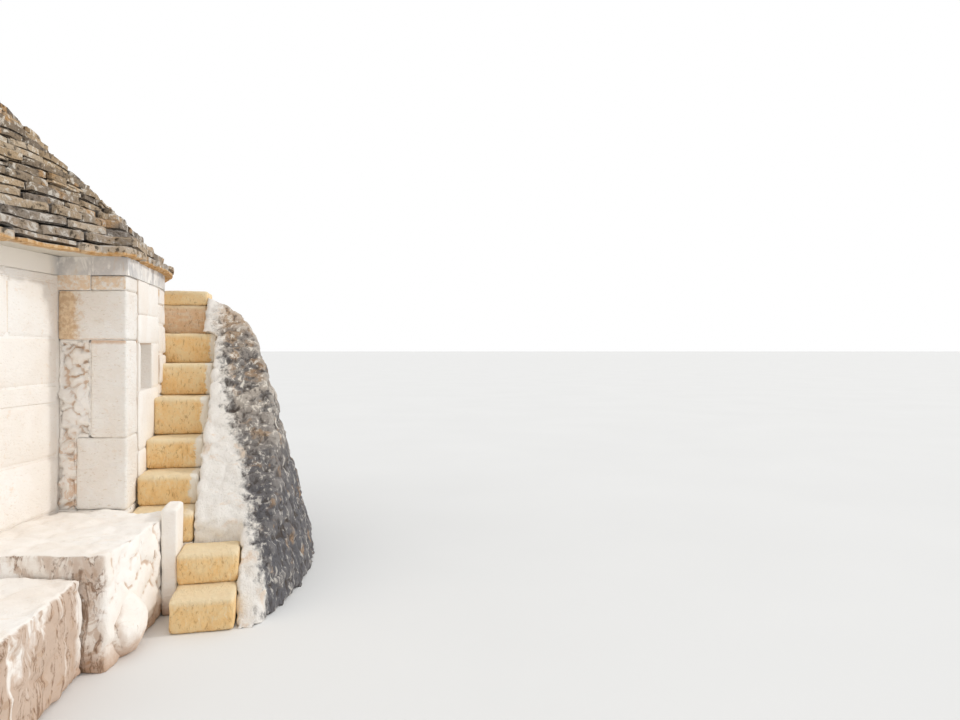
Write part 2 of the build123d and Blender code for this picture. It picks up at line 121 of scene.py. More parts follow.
class Board:
    """A node tree that is being wired."""

    def __init__(self, tree):
        self.tree = tree

    def add(self, kind, settings=None, sockets=None):
        node = self.tree.nodes.new(kind)
        for name, value in (settings or {}).items():
            setattr(node, name, value)
        for key, value in (sockets or {}).items():
            if isinstance(value, Wire):
                self.tree.links.new(value.socket, node.inputs[key])
            else:
                node.inputs[key].default_value = value
        return Made(self, node)

    def vector(self, operation, *values):
        """Vector arithmetic: output 0 is a vector and output 1 a number."""
        return self.add("ShaderNodeVectorMath", {"operation": operation}, dict(enumerate(values)))

    def scaled(self, vector, factor):
        return self.add("ShaderNodeVectorMath", {"operation": "SCALE"}, {0: vector, "Scale": factor})[0]

    def combine(self, x, y, z):
        return self.add("ShaderNodeCombineXYZ", {}, {0: x, 1: y, 2: z})[0]

    def parts(self, vector):
        """The x, y and z of a vector, as outputs 0, 1 and 2."""
        return self.add("ShaderNodeSeparateXYZ", {}, {0: vector})

    def stretched(self, place, scale, rotation=(0.0, 0.0, 0.0)):
        """Coordinates turned and scaled, so that the noise read with them is drawn out."""
        return self.add("ShaderNodeMapping", {}, {0: place, "Rotation": rotation, "Scale": scale})[0]

    def noise(self, place, size, detail=2.0, roughness=0.5, shift=0.0, distortion=0.0, output="Fac"):
        """Noise from 0 to 1 whose blots are about size metres across; each shift gives another pattern."""
        sockets = {
            "Vector": place, "W": shift, "Scale": 1.0 / size, "Detail": detail, "Roughness": roughness,
            "Distortion": distortion,
        }
        return self.add("ShaderNodeTexNoise", {"noise_dimensions": "4D"}, sockets)[output]

    def step(self, value, low, high):
        """0 at low and before it, 1 at high and after it, and smooth between. High may be the smaller one."""
        sockets = {"Value": value, "From Min": low, "From Max": high}
        return self.add("ShaderNodeMapRange", {"interpolation_type": "SMOOTHSTEP"}, sockets)[0]

    def span(self, value, low, high, soft):
        """1 between two places and 0 outside them, over a soft edge."""
        return self.step(value, low - soft, low + soft) * self.step(value, high + soft, high - soft)

    def blend(self, factor, first, second):
        """first where factor is 0 and second where it is 1."""
        return self.add("ShaderNodeMix", {"data_type": "RGBA"}, {0: factor, 6: first, 7: second})[2]

    def coats(self, colour, *coats):
        """Lays coats over a colour in turn. A coat is how much of it shows, then its red, green and blue."""
        for share, *coat in coats:
            colour = self.blend(share, colour, paint(*coat))
        return colour

    def ramp(self, factor, *stops):
        """The colour that factor picks. A stop is a place from 0 to 1, then its red, green and blue."""
        made = self.add("ShaderNodeValToRGB", {}, {0: factor})
        elements = made.node.color_ramp.elements
        while len(elements) < len(stops):
            elements.new(1.0)
        for element, (place, *colour) in zip(elements, stops):
            element.position = place
            element.color = paint(*colour)
        return made[0]


def paint(red, green, blue):
    """A colour as it looks on screen, 0 to 255, in the linear values that shaders use."""
    linear = []
    for part in (red, green, blue):
        share = part / 255
        linear.append(share / 12.92 if share <= 0.04045 else ((share + 0.055) / 1.055) ** 2.4)
    return (*linear, 1.0)


print("a mid limewash white is", [round(part, 3) for part in paint(236, 228, 214)])

# %% [markdown]
# The finishes come first, so that each piece can take its own as it is made. They all read Object
# coordinates, because every piece sits at the origin with its place in its mesh, so a stain runs on from
# one stone to the next as real dirt does. Four attributes are written by the node trees further down:
# tone is one random number for each stone, inward is how deep in the joint a point lies, proud is how far
# a point of a weathered block stands out from the places round it, and from_top how far it is below its
# own block's top, the last three in metres.


# %% Opening and closing a material
def open_finish(name):
    """A material with an empty tree, its board, and the Object coordinates."""
    material = bpy.data.materials.new(name)
    material.use_nodes = True
    material.node_tree.nodes.clear()
    board = Board(material.node_tree)
    return material, board, board.add("ShaderNodeTexCoord")["Object"]


def close_finish(board, colour, roughness, height, depth):
    """Ends a tree in a Principled shader; height is turned into bumps this many metres deep."""
    bump = board.add("ShaderNodeBump", {}, {"Strength": 1.0, "Distance": depth, "Height": height})
    sockets = {"Base Color": colour, "Roughness": roughness, "Normal": bump[0]}
    shader = board.add("ShaderNodeBsdfPrincipled", {}, sockets)
    board.add("ShaderNodeOutputMaterial", {}, {"Surface": shader[0]})


def attribute(board, name):
    """A number that the mesh carries under this name."""
    return board.add("ShaderNodeAttribute", {"attribute_name": name})["Fac"]


# %% [markdown]
# Roof slabs are the same limestone, left bare. They weather from ochre to grey, each at its own pace, with
# pale lichen on top and black algae in the joints, whose depths are darkened as painted shade.


# %% The finish of the roof slabs
def roof_slab_finish(name, underside=None):
    """underside is the height of the slabs' bed of ochre mortar, where they have one."""
    material, board, place = open_finish(name)
    tone = attribute(board, "tone")
    inward = attribute(board, "inward")
    height = board.parts(place)[2]
    broad = board.noise(place, 0.30, 3.0, shift=tone * 7.0)
    patch = board.noise(place, 0.050, 5.0, 0.66, shift=tone * 3.0, distortion=0.5)
    grain = board.noise(place, 0.012, 4.0, 0.7)
    colour = board.ramp(
        tone * 0.75 + broad * 0.7 - 0.22,
        (0.00, 98, 85, 72),
        (0.28, 138, 121, 102),
        (0.50, 174, 150, 120),
        (0.72, 200, 172, 136),
        (1.00, 216, 200, 178),
    )
    ochre = board.step(board.noise(place, 0.16, shift=5.0), 0.54, 0.68)
    greyer = board.step(height + broad * 0.5, eave_top + 0.75, eave_top + 0.15) * board.step(patch, 0.35, 0.6)
    colour = board.coats(
        colour,
        (ochre * 0.7, 214, 162, 98),
        (board.step(patch, 0.53, 0.60) * 0.85, 240, 230, 214),  # lichen
        (board.step(patch, 0.46, 0.36) * 0.85, 62, 54, 46),  # algae
        (board.step(grain, 0.42, 0.30) * 0.6, 66, 56, 46),  # pits
        # painted shade: the faces of the slabs deep in the joints are nearly black
        (board.step(inward, 0.03, 0.12) * 0.9, 34, 28, 24),  # joints
        (greyer * 0.45, 188, 184, 182),
    )
    if underside:
        low = height + broad * 0.03 + (patch - 0.5) * 0.03
        bedding = board.step(low, underside + 0.032, underside + 0.020)
        deep = board.step(inward + (patch - 0.5) * 0.1, 0.10, 0.22)
        mortar = board.blend(board.step(patch, 0.40, 0.62), paint(212, 158, 94), paint(236, 200, 150))
        mortar = board.coats(mortar, (deep, 238, 230, 216))
        colour = board.blend(bedding * 0.9, colour, mortar)
    close_finish(board, colour, 0.9, patch * 0.8 + grain * 0.6, 0.020)
    return material


roof_finish = roof_slab_finish("roof_stone_weathered")
eave_finish = roof_slab_finish("eave_stone_weathered", eave_bottom)
print(roof_finish.name, len(roof_finish.node_tree.nodes), "nodes")

# %% [markdown]
# Limewash is brushed on every few years, so it is thickest on open faces and thin in joints and holes, where
# the ochre of the bare stone and its rust-brown dirt show through; hollows that don't face up are also
# darkened as painted shade, and proud points are lightened as a painted highlight. One function makes every
# limewashed
# finish, from how much it is stained and how it was dressed before it was painted. Stains that only one
# piece has come from a function of their own, which lays them over the rest.


# %% The limewashed finishes
def limewash_finish(name, stain, tooling, foot=0.0, joints=0.7, extra=None):
    """stain is how much ochre shows, tooling how coarsely it was dressed, foot how high damp rises, joints
    how brown the joints are, and extra the function that lays a piece's own stains."""
    material, board, place = open_finish(name)
    cloud = board.noise(place, 0.35, 4.0, 0.6, shift=2.0)
    blot = board.noise(place, 0.07, 5.0, 0.68, shift=9.0, distortion=0.6)
    grain = board.noise(place, 0.010, 3.0, 0.7)
    slanting = board.stretched(place, (1.0, 1.0, 2.6), (0.5, 0.6, 0.4))
    strokes = board.noise(slanting, 0.026, 3.0, 0.6, distortion=0.4)
    facing = board.parts(board.add("ShaderNodeNewGeometry")["Normal"])
    proud = attribute(board, "proud") + (blot - 0.5) * 0.004
    # hollows that don't face up: the ochre of the bare stone, and painted shade
    sunk_ochre_and_shade = board.step(proud, -0.0015, -0.007) * board.step(facing[2], 0.85, 0.35)
    joint = board.step(attribute(board, "inward") + (blot - 0.5) * 0.12, 0.06, 0.25)
    colour = board.coats(
        board.blend(board.step(cloud, 0.35, 0.65), paint(246, 238, 229), paint(252, 248, 243)),
        (attribute(board, "tone") * 0.30, 242, 228, 213),
        (board.step(blot, 0.58, 0.74) * stain, 226, 190, 148),
        (board.step(strokes, 0.42, 0.30) * 0.5 * tooling, 208, 182, 152),
        # painted highlight on proud points
        (board.step(proud, 0.001, 0.005) * 0.25, 252, 247, 238),
        (sunk_ochre_and_shade * min(1.0, stain + 0.3), 192, 146, 100),
        (joint * joints, 178, 132, 86),
    )
    if foot:
        damp = board.step(board.parts(place)[2] - (blot - 0.5) * foot, foot, 0.0)
        colour = board.coats(colour, (damp * 0.7, 176, 126, 78))
    if extra:
        colour = extra(board, place, colour, blot, facing)
    relief = strokes * 0.8 * tooling + blot * 0.4 + grain * 0.35
    close_finish(board, colour, 0.86, relief, 0.005 + 0.007 * tooling)
    return material


stained_from, stained_to = 1.445, 1.720  # the heights of the bearing stone, in metres
stain_width = 2.140  # how far out from the axis its ochre reaches


def corner_stains(board, place, colour, blot, facing):
    """Ochre where water has run on the stones under the eave, and rust along the joint under one of them."""
    at = board.parts(place)
    mottle = board.noise(place, 0.035, 4.0, 0.7, shift=12.0)
    sway = (blot - 0.5) * 0.20 + (mottle - 0.5) * 0.12
    by_corner = board.step(at[0], axis[0] + 1.9, axis[0] + 2.0) * board.step(facing[1], -0.5, -0.8)
    by_corner = by_corner * board.step(at[1], axis[1] - 1.3, axis[1] - 1.1)
    stained = board.span(at[0] + sway, axis[0] + 1.9, axis[0] + stain_width, 0.035)
    stained = stained * board.span(at[2] + sway * 0.3, stained_from, stained_to, 0.012)
    ochre = board.blend(board.step(mottle, 0.42, 0.60), paint(212, 172, 124), paint(240, 210, 170))
    colour = board.blend(stained * by_corner * 0.85, colour, ochre)
    top = board.step(at[2] + sway * 0.4, stained_to - 0.005, stained_to + 0.015)
    joint_line = board.span(at[2] + sway * 0.10, stained_from - 0.020, stained_from + 0.005, 0.010)
    return board.coats(
        colour,
        (top * by_corner * board.step(mottle, 0.34, 0.58) * 0.75, 232, 196, 152),
        (joint_line * by_corner * 0.6, 212, 156, 98),
    )


def panel_mortar(board, place, colour, blot, facing):
    """Low in the panel the mortar has gone, and the small stones are orange-brown round their edges, with
    painted shade in the hollows.
    """
    low = board.step(board.parts(place)[2] + (blot - 0.5) * 0.8, 1.10, 0.85)
    deep = board.step(attribute(board, "proud") + (blot - 0.5) * 0.006, -0.001, -0.009)
    return board.coats(
        colour,
        (board.step(blot, 0.50, 0.60) * low * 0.6, 214, 166, 118),
        # orange-brown in the hollows: mortar, and painted shade
        (deep * board.step(blot, 0.40, 0.55) * 0.6, 206, 164, 124),
    )


def bench_crevices_and_shade(board, place, colour, blot, facing):
    """Brown stone and cracks where the front and the seat's end have lost their coats, with painted shade
    there, most on the seat's end, and small holes.
    """
    drawn = board.stretched(place, (1.0, 1.0, 0.32))
    split = board.noise(drawn, 0.10, 4.0, 0.65, distortion=1.0)
    before_ledge = board.step(board.parts(place)[1], ledge_front - 0.03, ledge_front - 0.08)
    shaded_seat_end = board.step(facing[0], 0.35, 0.85) * before_ledge
    front = board.step(facing[1], -0.35, -0.85).at_least(shaded_seat_end)
    bare_stone_and_shade = board.step(split + shaded_seat_end * 0.09, 0.42, 0.60) * front
    crack = board.span(split, 0.500, 0.535, 0.022) * board.step(blot, 0.44, 0.56)
    hole = board.step(board.noise(drawn, 0.045, 3.0, 0.6, shift=21.0), 0.66, 0.71)
    upright = board.step(facing[2], 0.55, 0.25)
    return board.coats(
        colour,
        # painted shade over the bare stone on the front, darker still on the seat's end
        (bare_stone_and_shade * (shaded_seat_end * 0.2 + 0.75), 200, 175, 155),
        # brown blots on the front: stains, and painted shade
        (board.step(blot, 0.52, 0.62) * front * 0.5, 184, 150, 120),
        (crack * front * 0.8, 122, 88, 60),
        (hole * upright * 0.6, 150, 106, 66),
    )


ashlar_finish = limewash_finish("limewashed_ashlar", 0.30, 1.0, extra=corner_stains)
wall_finish = limewash_finish("limewashed_wall", 0.40, 0.6, foot=0.12, extra=corner_stains)
brushed_finish = limewash_finish("limewashed_side_wall", 0.30, 0.4, foot=0.12, joints=0.25)
panel_finish = limewash_finish("limewashed_rubble_panel", 0.0, 0.6, extra=panel_mortar)
bench_finish = limewash_finish("limewashed_bench", 0.3, 0.35, foot=0.14, extra=bench_crevices_and_shade)
slab_finish = limewash_finish("limewashed_end_slab", 0.15, 0.35, foot=0.10)
plaster_finish = limewash_finish("limewashed_room", 0.2, 0.2, foot=0.10)
pinnacle_finish = limewash_finish("limewashed_pinnacle", 0.3, 0.4)
print("limewash with", len(ashlar_finish.node_tree.nodes), "nodes")

# %% [markdown]
# The stair runs straight, turned a little from the house. Its own two directions, out from the wall and on
# up the flight, say where the steps end and how high their slope is at any place.

# %% The stair's own directions and its slope
stair_turn = 13.5  # degrees
turn = math.radians(stair_turn)
out_from_wall = (math.cos(turn), math.sin(turn))
up_the_flight = (-math.sin(turn), math.cos(turn))
low_nosing, high_nosing, nosing_run = 0.487, 1.823, 1.5  # heights of two nosings, and the run between them
low_nosing_before = 0.91  # how far down the flight from the axis the lower one is
flank_drop = 0.045  # the mass's sloping top lies this far under the nosings
slope_rise = (high_nosing - low_nosing) / nosing_run
slope_at_zero = low_nosing - flank_drop + slope_rise * low_nosing_before
wall_face = 2.285
stair_edge = wall_face + 0.335  # where the steps end and the mass begins
lime_edge = 2.70  # how far out the brush reached, level with the axis
lime_spread = 0.25  # and how much further for each metre down the flight


def flight_point(outward, onward):
    """A point of the plan from its distance out from the axis and its distance up the flight."""
    return tuple(axis[n] + outward * out_from_wall[n] + onward * up_the_flight[n] for n in (0, 1))


def along_stair(board, place, direction):
    """How far a place is from the axis, along one of the stair's directions."""
    from_axis = board.vector("SUBTRACT", place, (axis[0], axis[1], 0.0))[0]
    return board.vector("DOT_PRODUCT", from_axis, (*direction, 0.0))[1]


# %% [markdown]
# The stair is golden limestone that has never been painted: tooled risers, and pale treads and nosings, worn
# where feet have polished them and lightened further as a painted highlight, with painted shade in the
# hollows. Limewash from the mass beside it has strayed over the outer ends of the risers.


# %% The finish of the steps
def step_stone_finish(name, gold, dull):
    """gold is how golden the stone is, and dull the colour it has where it isn't."""
    material, board, place = open_finish(name)
    cloud = board.noise(place, 0.16, 4.0, 0.6, shift=4.0)
    tooled = board.stretched(place, (1.0, 1.0, 0.45), (0.3, 0.5, 0.2))
    pits = board.noise(tooled, 0.018, 4.0, 0.72, distortion=0.8)
    blot = board.noise(place, 0.045, 4.0, 0.65, shift=1.0)
    streak = board.noise(board.stretched(place, (0.3, 1.0, 1.0), (0, 0.7, 0)), 0.030, 3.0, 0.6)
    # the top of each block: wear, and a painted highlight
    nosing_wear_and_highlight = board.step(attribute(board, "from_top") + (blot - 0.5) * 0.04, 0.040, 0.008)
    outward = along_stair(board, place, out_from_wall)
    strayed = board.step(outward + (blot - 0.5) * 0.10, stair_edge - 0.055, stair_edge - 0.040)
    strayed = strayed * board.step(outward, stair_edge + 0.03, stair_edge + 0.01)
    colour = board.ramp(
        cloud * 0.6 + blot * 0.4,
        (0.30, 234, 186, 120),
        (0.46, 252, 212, 150),
        (0.60, 253, 225, 175),
        (0.78, 253, 236, 204),
    )
    colour = board.coats(
        colour,
        (1.0 - gold, *dull),
        (board.step(streak, 0.46, 0.60) * (1.0 - gold) * 0.7, 246, 232, 214),
        (board.step(pits, 0.46, 0.34) * 0.55, 172, 126, 72),
        (board.step(pits, 0.55, 0.66) * 0.5, 254, 238, 206),
        (nosing_wear_and_highlight * 0.7, 250, 232, 196),
        # painted shade: darker brown in the hollows
        (board.step(attribute(board, "proud"), -0.001, -0.006) * 0.6, 166, 118, 70),
        (strayed * board.step(board.parts(place)[2], 0.45, 0.55), 252, 244, 230),
    )
    close_finish(board, colour, 0.82, pits * 0.9 + blot * 0.5, 0.016)
    return material


stair_finish = step_stone_finish("golden_step_stone", 1.0, (196, 180, 156))
top_riser_finish = step_stone_finish("pinkish_step_stone", 0.30, (236, 200, 168))
floor_finish = step_stone_finish("worn_floor_stone", 0.45, (196, 180, 156))
print(stair_finish.name, len(stair_finish.node_tree.nodes), "nodes")

# %% [markdown]
# The band under the eave was rendered in grey cement over the limewash, on the stair side and round the
# back, and limewash has run down it in pale streaks. On the front bay it is white like the walls.


# %% The finish of the rendered band
def band_finish_made(name):
    material, board, place = open_finish(name)
    streak = board.noise(board.stretched(place, (1.0, 1.0, 0.5)), 0.10, 4.0, 0.65, distortion=1.2)
    cloud = board.noise(place, 0.20, 4.0, 0.6)
    grain = board.noise(place, 0.008, 3.0, 0.6)
    across = board.parts(place)[1] + (cloud - 0.5) * 0.25
    colour = board.coats(
        board.blend(board.step(cloud, 0.38, 0.62), paint(190, 187, 186), paint(232, 227, 221)),
        (board.step(streak, 0.48, 0.62) * 0.85, 250, 246, 240),
        (board.step(streak, 0.42, 0.32) * 0.5, 200, 174, 144),
        (board.step(across, axis[1] - 0.30, axis[1] - 0.42), 250, 243, 233),
    )
    close_finish(board, colour, 0.9, grain * 0.5 + cloud, 0.004)
    return material


band_finish = band_finish_made("cement_render_streaked")
print(band_finish.name)

# %% [markdown]
# The battered mass is rubble that was painted once and has since gone grey with lichen: darker low down,
# warmer near its top. Only the sloping band beside the steps is still white, and it widens towards the
# foot of the flight.


# %% The finish of the battered mass
def flank_finish_made(name):
    material, board, place = open_finish(name)
    cloud = board.noise(place, 0.40, 5.0, 0.62, shift=6.0)
    upright = board.stretched(place, (1.0, 1.0, 0.36))
    lichen = board.noise(upright, 0.034, 5.0, 0.72, shift=3.0, distortion=0.4)
    spot = board.noise(place, 0.11, 4.0, 0.6, shift=8.0, distortion=0.5)
    grain = board.noise(place, 0.010, 3.0, 0.7)
    height = board.parts(place)[2]
    low = board.step(height, 1.15, 0.45)
    proud = attribute(board, "proud") + (lichen - 0.5) * 0.006
    colour = board.ramp(
        cloud * 0.35 + lichen * 0.3 + attribute(board, "tone") * 0.35,
        (0.30, 104, 99, 96),
        (0.44, 136, 130, 125),
        (0.58, 168, 158, 148),
        (0.74, 198, 186, 172),
    )
    colour = board.coats(
        colour,
        (low * 0.9, 94, 93, 97),
        (board.step(height + (cloud - 0.5) * 0.6, 1.35, 1.70) * 0.6, 214, 184, 154),
        (board.step(spot + (height - 1.0) * 0.06, 0.52, 0.64) * 0.6, 184, 148, 108),
        (board.step(lichen, 0.55, 0.60) * (0.9 - low * 0.4), 240, 232, 220),
        (board.step(lichen, 0.47, 0.39) * 0.7, 70, 62, 58),
        # painted highlight on the proud points of the stones
        (board.step(proud, 0.003, 0.008) * (0.4 - low * 0.3), 222, 212, 200),
        # painted shade in the hollows between the stones
        (board.step(proud, -0.002, -0.009) * 0.75, 72, 60, 50),
    )
    onward = along_stair(board, place, up_the_flight)
    sway = (lichen - 0.5) * 0.22 + (spot - 0.5) * 0.25
    above = height - onward * slope_rise - slope_at_zero + sway * 0.4
    brushed = (lime_edge - onward * lime_spread).at_least(stair_edge)
    brushed = brushed - along_stair(board, place, out_from_wall) + sway
    lime = board.step(above, -0.55, -0.50) * board.step(brushed, -0.05, 0.04)
    lime_colour = board.coats(paint(253, 247, 239), (board.step(spot, 0.56, 0.72) * 0.5, 224, 184, 138))
    colour = board.blend(lime * 0.95, colour, lime_colour)
    close_finish(board, colour, 0.92, lichen * 0.9 + grain * 0.5, 0.016)
    return material


flank_finish = flank_finish_made("weathered_flank_rubble")
print(flank_finish.name, len(flank_finish.node_tree.nodes), "nodes")

# %% [markdown]
# Geometry Nodes lay and wear the stones. Each of the two trees is a group with named inputs, and what they
# share is written first: reading an attribute or a place, moving points, and ending the group.


# %% A node group with named inputs
def new_group(name, **labels_by_kind):
    """A Geometry Nodes group: its board, and its inputs by name."""
    tree = bpy.data.node_groups.new(name, "GeometryNodeTree")
    tree.interface.new_socket("Geometry", in_out="INPUT", socket_type="NodeSocketGeometry")
    tree.interface.new_socket("Geometry", in_out="OUTPUT", socket_type="NodeSocketGeometry")
    for kind, labels in labels_by_kind.items():
        for label in labels:
            tree.interface.new_socket(label, in_out="INPUT", socket_type="NodeSocket" + kind)
    board = Board(tree)
    return board, board.add("NodeGroupInput")


def named(board, name, kind="FLOAT"):
    """An attribute of the geometry, as a field."""
    return board.add("GeometryNodeInputNamedAttribute", {"data_type": kind}, {"Name": name})[0]


def position(board):
    return board.add("GeometryNodeInputPosition")[0]


def moved(board, geometry, **sockets):
    """The geometry with its points set to a Position, or moved by an Offset."""
    return board.add("GeometryNodeSetPosition", {}, {0: geometry, **sockets})[0]


def wear(board, geometry, size, depth, shift):
    """Moves every point by smooth noise, up to about half of depth each way."""
    noise = board.noise(position(board), size, shift=shift, output="Color")
    centred = board.vector("SUBTRACT", noise, (0.5, 0.5, 0.5))[0]
    return moved(board, geometry, Offset=board.scaled(centred, depth))


def end_group(board, geometry, material):
    """Gives the last geometry its material and links it to the group's output."""
    done = board.add("GeometryNodeSetMaterial", {}, {0: geometry, "Material": material})
    board.add("NodeGroupOutput", {}, {0: done[0]})


# %% [markdown]
# A mason works along a line, one stone after another, and the first tree does the same: each stone is a
# point with its place along the line, its height, its size and its tone. The tree puts a block on every
# point of a straight wall, makes the blocks real, and then wraps the whole wall onto the line in the plan,
# so that stones follow a curve without gaps. Noise in four dimensions, with the stone's tone as the fourth,
# wears each stone its own way.

# %% The tree that lays stones along a line
sharp_from = math.radians(34)  # edges sharper than this stay crisp


def make_laying_tree():
    board, given = new_group(
        "lay_stones", Object=["Lines", "Block"], Int=["Seed"], Material=["Material"],
        Float=["Joint", "Tilt", "Wear size", "Wear depth", "Chip size", "Chip depth"],
    )
    block = board.add("GeometryNodeObjectInfo", {}, {"Object": given["Block"]})["Geometry"]
    length = named(board, "length") - given["Joint"]
    size = board.combine(length, named(board, "deep"), named(board, "rise") - given["Joint"])
    most = board.scaled((1.0, 0.5, 0.7), given["Tilt"])
    least = board.vector("SUBTRACT", (0.0, 0.0, 0.0), most)[0]
    sockets = {0: least, 1: most, "Seed": given["Seed"]}
    spin = board.add("FunctionNodeRandomValue", {"data_type": "FLOAT_VECTOR"}, sockets)[0]
    turned = board.add("FunctionNodeEulerToRotation", {}, {0: spin})[0]
    sockets = {"Points": given["Geometry"], "Instance": block, "Rotation": turned, "Scale": size}
    laid = board.add("GeometryNodeInstanceOnPoints", {}, sockets)[0]
    real = board.add("GeometryNodeRealizeInstances", {}, {0: laid})[0]
    flat = board.parts(position(board))
    line = board.add("GeometryNodeObjectInfo", {}, {"Object": given["Lines"]})["Geometry"]
    sockets = {"Curves": line, "Length": flat[0], "Curve Index": named(board, "line", "INT")}
    spot = board.add("GeometryNodeSampleCurve", {"mode": "LENGTH"}, sockets)
    way = board.parts(spot["Tangent"])
    out = board.vector("NORMALIZE", board.combine(way[1], way[0] * -1.0, 0.0))[0]
    wrapped = board.vector("ADD", spot["Position"], board.scaled(out, flat[1]))[0]
    wrapped = board.vector("ADD", wrapped, board.combine(0.0, 0.0, flat[2]))[0]
    bent = moved(board, real, Position=wrapped)
    worn = wear(board, bent, given["Wear size"], given["Wear depth"], named(board, "tone") * 40.0)
    worn = wear(board, worn, given["Chip size"], given["Chip depth"], named(board, "tone") * 11.0)
    smooth = board.add("GeometryNodeSetShadeSmooth", {}, {0: worn})[0]
    blunt = board.add("GeometryNodeInputMeshEdgeAngle")["Unsigned Angle"] < sharp_from
    crisp = board.add("GeometryNodeSetShadeSmooth", {"domain": "EDGE"}, {0: smooth, "Shade Smooth": blunt})[0]
    end_group(board, crisp, given["Material"])
    return board.tree


laying_tree = make_laying_tree()
print("laying tree:", len(laying_tree.nodes), "nodes")

# %% [markdown]
# The block that is laid is one unit long, deep and high. Its outer face is at y = 0, and it runs in from
# there. Rows of points near each edge let the smooth shading round it, and pulling in its corners wears it.

# %% Blocks to lay
# The corners of a face across x, across y and across z, as steps from its first point.
quad_steps = [
    [(0, 0, 0), (0, 0, 1), (0, 1, 1), (0, 1, 0)],
    [(0, 0, 0), (1, 0, 0), (1, 0, 1), (0, 0, 1)],
    [(0, 0, 0), (0, 1, 0), (1, 1, 0), (1, 0, 0)],
]


def make_block(name, across, inwards, upwards, round_off):
    """A box of points on its surface only, its edges pulled in by the share round_off of each side."""
    mesh = bmesh.new()
    last = [len(places) - 1 for places in (across, inwards, upwards)]
    grid = {}
    for at in itertools.product(*(range(count + 1) for count in last)):
        ends = [at[n] in (0, last[n]) for n in range(3)]
        if any(ends):
            pull = sum(ends) - 1  # 0 on a side, 1 on an edge, 2 at a corner
            grid[at] = mesh.verts.new((
                across[at[0]] * (1 - round_off[0] * pull * ends[0]),
                inwards[at[1]] + round_off[1] * pull * 0.5 * ends[1] * (1 if at[1] else -1),
                0.5 + (upwards[at[2]] - 0.5) * (1 - round_off[2] * pull * ends[2]),
            ))
    for side, steps in enumerate(quad_steps):
        for end in (0, last[side]):
            spans = [range(count) for count in last]
            spans[side] = [end]
            for i, j, k in itertools.product(*spans):
                mesh.faces.new([grid[i + x, j + y, k + z] for x, y, z in steps])
    bmesh.ops.recalc_face_normals(mesh, faces=mesh.faces)
    data = bpy.data.meshes.new(name)
    mesh.to_mesh(data)
    mesh.free()
    depth = [-vertex.co.y for vertex in data.vertices]
    data.attributes.new("inward", "FLOAT", "POINT").data.foreach_set("value", depth)
    return bpy.data.objects.new(name, data)


slab_block = make_block(
    "slab_block", (-0.5, -0.44, -0.15, 0.15, 0.44, 0.5), (0.0, -0.07, -0.4, -1.0), (0.0, 0.12, 0.80, 1.0),
    (0.05, 0.12, 0.16),
)
wall_block = make_block(
    "wall_block", (-0.5, -0.46, -0.2, 0.12, 0.46, 0.5), (0.0, -0.12, -1.0), (0.0, 0.08, 0.5, 0.92, 1.0),
    (0.03, 0.10, 0.06),
)
print("faces in a slab:", len(slab_block.data.polygons), "in a wall stone:", len(wall_block.data.polygons))

# %% [markdown]
# A tree runs as a modifier on a working object. What it makes is kept as a plain mesh, and the mesh becomes a
# piece of the house, in place of its solid where there is one.


# %% Running a tree and adding a piece
def run_tree(working, tree, name, values):
    """Runs a tree on a working object, after its other modifiers, and returns the mesh that they make."""
    modifier = working.modifiers.new("tree", "NODES")
    modifier.node_group = tree
    sockets = {item.name: item.identifier for item in tree.interface.items_tree if item.in_out == "INPUT"}
    for label, value in values.items():
        modifier[sockets[label]] = value
    bpy.context.scene.collection.objects.link(working)
    bpy.context.view_layer.update()
    depsgraph = bpy.context.evaluated_depsgraph_get()
    mesh = bpy.data.meshes.new_from_object(working.evaluated_get(depsgraph), depsgraph=depsgraph)
    mesh.name = name
    bpy.data.objects.remove(working)
    return mesh


def put_in_scene(name, data):
    """A new object in the scene, made of this mesh, light or camera."""
    made = bpy.data.objects.new(name, data)
    bpy.context.scene.collection.objects.link(made)
    return made


def add_piece(mesh, name, replaced=()):
    """Puts a finished mesh in the scene as a piece of the house."""
    piece = put_in_scene(name, mesh)
    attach(piece, "root")
    if replaced:
        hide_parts(*replaced)
    print(f"{name}: {sum(len(face.vertices) - 2 for face in mesh.polygons)} triangles")


def stone(line, along, base, length, rise, deep, proud, tone):
    """A stone of a line: where its middle is along it, its foot, its size, how proud it is, and its tone."""
    return {
        "line": line, "along": along, "base": base, "length": length, "rise": rise, "deep": deep,
        "proud": proud, "tone": tone,
    }


def lay_stones(
    name, replaced, lines, stones, block, finish, wear_sizes, joint=0.006, tilt=0.02, seed=1
):
    """Adds a piece of stones laid along lines of the plan. wear_sizes: wear size, depth, chip size, depth."""
    points = bpy.data.meshes.new(name + "_points")
    points.from_pydata([(s["along"], s["proud"], s["base"]) for s in stones], [], [])
    for key in ("line", "length", "rise", "deep", "tone"):
        kind = "INT" if key == "line" else "FLOAT"
        points.attributes.new(key, kind, "POINT").data.foreach_set("value", [s[key] for s in stones])
    curve = bpy.data.curves.new(name + "_lines", "CURVE")
    curve.dimensions = "3D"
    for line in lines:
        spline = curve.splines.new("POLY")
        spline.points.add(len(line) - 1)
        spline.points.foreach_set("co", [part for x, y in line for part in (x, y, 0.0, 1.0)])
    values = dict(zip(("Wear size", "Wear depth", "Chip size", "Chip depth"), wear_sizes))
    values.update({
        "Lines": bpy.data.objects.new(name + "_lines", curve), "Block": block, "Joint": joint, "Tilt": tilt,
        "Seed": seed, "Material": finish,
    })
    working = bpy.data.objects.new(name + "_points", points)
    add_piece(run_tree(working, laying_tree, name, values), name, replaced)


# %% [markdown]
# A course of the roof follows the eave's outline, drawn in a little at each ring: round at the back,
# squared at the front, with a blunt corner over the side wall. Each course is measured as a ray from the
# axis at every bearing, and the reach is that of whichever shape stands out furthest.

